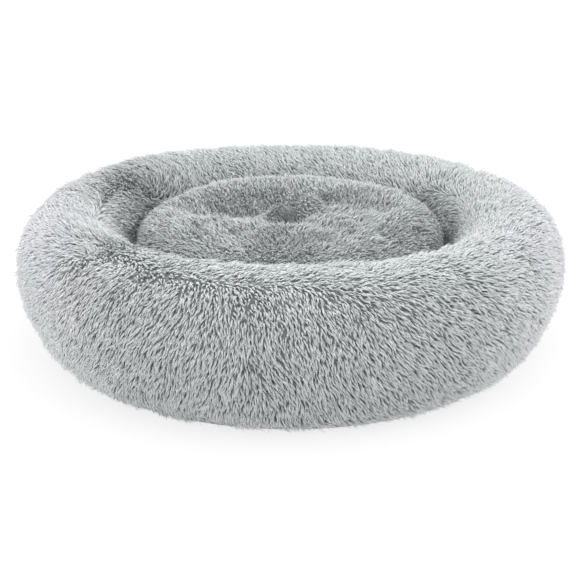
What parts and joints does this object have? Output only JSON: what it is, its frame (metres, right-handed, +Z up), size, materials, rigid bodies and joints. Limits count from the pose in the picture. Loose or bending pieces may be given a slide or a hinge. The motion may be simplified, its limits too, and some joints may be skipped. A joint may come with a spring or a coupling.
{
  "type": "pet cushion bed",
  "caption": "Round long-pile pet bed with a plump raised bolster, a flat base with a zipped band and a tufted lift-out centre cushion.",
  "frame": {"origin": "centre of the base panel's underside, on the floor", "axes": "+Z up, -Y towards the front, +X to the right as seen from the front"},
  "size_m": [0.914, 0.914, 0.243],
  "materials": {
    "shag": "light cool grey long-pile faux fur",
    "base_cloth": "coated plain-weave cloth with raised grip dots",
    "floor_cloth": "matt plain-weave cloth",
    "binding_tape": "ribbed binding tape",
    "liner_cloth": "white non-woven",
    "fibre": "white hollow fibre",
    "foam": "fine open-cell foam",
    "zip_tape": "woven zip tape",
    "zip_coil": "satin nylon coil",
    "zip_metal": "satin grey lacquer",
    "button_plastic": "satin",
    "thread": "twisted polyester",
    "label_satin": "blank white satin"
  },
  "bodies": {
    "bed": {"bolster_cover": "shag", "bolster_band": "shag", "bolster_liner": "liner_cloth", "bolster_fill": "fibre", "base_panel": "base_cloth", "base_binding": "binding_tape", "base_pad": "foam", "floor_panel": "floor_cloth", "well_binding": "binding_tape", "bed_zip_tape_upper": "zip_tape", "bed_zip_tape_lower": "zip_tape", "bed_zip_coil_upper": "zip_coil", "bed_zip_coil_lower": "zip_coil", "bed_zip_stop_open": "zip_metal", "bed_zip_stop_closed": "zip_metal", "care_label": "label_satin"},
    "bed_slider": {"bed_zip_slider": "zip_metal"},
    "bed_pull": {"bed_zip_pull": "zip_metal"},
    "cushion": {"cushion_top_cover": "shag", "cushion_bottom_cover": "floor_cloth", "cushion_band": "floor_cloth", "cushion_liner": "liner_cloth", "cushion_fill": "fibre", "tuft_button_top": "floor_cloth", "tuft_button_bottom": "button_plastic", "tuft_thread": "thread", "cushion_zip_tape_upper": "zip_tape", "cushion_zip_tape_lower": "zip_tape", "cushion_zip_coil_upper": "zip_coil", "cushion_zip_coil_lower": "zip_coil", "cushion_zip_stop_open": "zip_metal", "cushion_zip_stop_closed": "zip_metal"},
    "cushion_slider": {"cushion_zip_slider": "zip_metal"},
    "cushion_pull": {"cushion_zip_pull": "zip_metal"}
  },
  "joints": [
    {"name": "cushion_lift", "type": "slide", "parent": "bed", "child": "cushion", "axis": [0, 0, 1], "range_m": [0, 0.3]},
    {"name": "bed_zip_run", "type": "hinge", "parent": "bed", "child": "bed_slider", "pos_m": [0, 0, 0.0205], "axis": [0, 0, 1], "range_deg": [-99, 0]},
    {"name": "bed_pull_swing", "type": "hinge", "parent": "bed_slider", "child": "bed_pull", "pos_m": [-0.33063, 0.20722, 0.0205], "axis": [0, 0, 1], "range_deg": [0, 170]},
    {"name": "cushion_zip_run", "type": "hinge", "parent": "cushion", "child": "cushion_slider", "pos_m": [0, 0, 0.031], "axis": [0, 0, 1], "range_deg": [-72, 0]},
    {"name": "cushion_pull_swing", "type": "hinge", "parent": "cushion_slider", "child": "cushion_pull", "pos_m": [-0.14966, 0.2005, 0.031], "axis": [0, 0, 1], "range_deg": [0, 170]}
  ]
}
